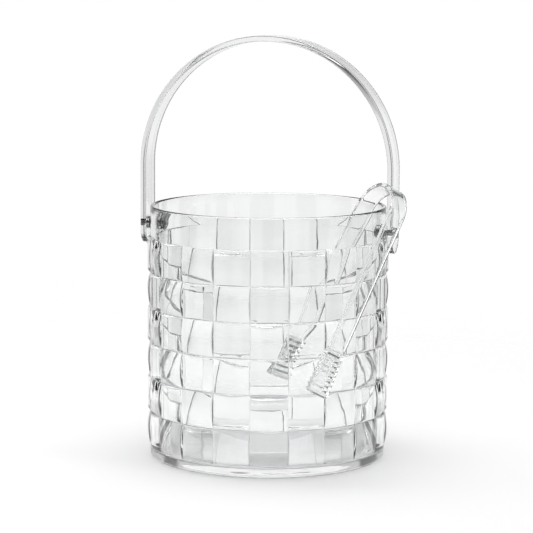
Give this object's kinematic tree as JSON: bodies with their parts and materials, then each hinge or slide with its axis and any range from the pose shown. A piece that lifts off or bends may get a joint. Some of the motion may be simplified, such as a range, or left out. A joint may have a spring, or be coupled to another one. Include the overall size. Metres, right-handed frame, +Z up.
{
  "type": "ice bucket",
  "caption": "Clear moulded ice bucket with a basket-weave wall, a strip bail handle on side pivots and clear tongs hooked over the rim.",
  "frame": {"origin": "centre of the base, on the table plane", "axes": "+Z up; +X along the handle's pivot line; -Y towards the side where the tongs hang, with the handle upright"},
  "size_m": [0.2236, 0.1948, 0.3285],
  "materials": {
    "clear_body": "clear, polished",
    "clear_handle": "clear, polished",
    "clear_tongs": "clear, polished",
    "dark_metal": "darkened, satin",
    "washer": "black, satin"
  },
  "bodies": {
    "bucket": {"bucket_body": "clear_body", "pivot_pin_left": "dark_metal", "pivot_pin_right": "dark_metal", "pivot_washer_left": "washer", "pivot_washer_right": "washer", "pivot_retainer_left": "dark_metal", "pivot_retainer_right": "dark_metal"},
    "handle": {"bail_handle": "clear_handle"},
    "tongs": {"tongs_inner_half": "clear_tongs"},
    "tongs_outer_arm": {"tongs_outer_half": "clear_tongs"}
  },
  "joints": [
    {"name": "handle_swing", "type": "hinge", "parent": "bucket", "child": "handle", "pos_m": [0, 0, 0.1795], "axis": [1, 0, 0], "range_deg": [-135, 0]},
    {"name": "tongs_lift", "type": "slide", "parent": "bucket", "child": "tongs", "axis": [0, -0.12, 0.9928], "range_m": [0, 0.15]},
    {"name": "tongs_squeeze", "type": "hinge", "parent": "tongs", "child": "tongs_outer_arm", "pos_m": [0.10392, -0.02537, 0.21404], "axis": [0.5625, 0.6849, -0.463], "range_deg": [0, 5.4], "stiffness_Nm_per_rad": 2}
  ]
}
